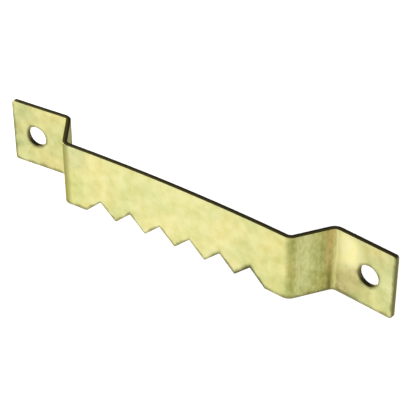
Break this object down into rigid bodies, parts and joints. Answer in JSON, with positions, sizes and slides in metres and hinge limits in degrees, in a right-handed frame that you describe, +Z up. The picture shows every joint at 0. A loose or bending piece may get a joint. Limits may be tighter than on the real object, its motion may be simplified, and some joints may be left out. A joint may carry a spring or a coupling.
{
  "type": "sawtooth picture hanger",
  "caption": "Sawtooth picture hanger: a stepped strip of plated steel, with a screw hole in the ear at each end and a notched bar between them that hangs on a wall nail.",
  "frame": {"origin": "on the back of the picture frame, midway between the ears and halfway up the strip", "axes": "+X along the strip, +Y towards the picture frame, +Z up, with the teeth pointing down"},
  "size_m": [0.064, 0.006, 0.01],
  "materials": {
    "brassed_steel": "pale brass plating on stamped steel, satin with a soft cloudy sheen and dark cut edges"
  },
  "bodies": {
    "root": {"hanger_strip": "brassed_steel"}
  },
  "joints": []
}
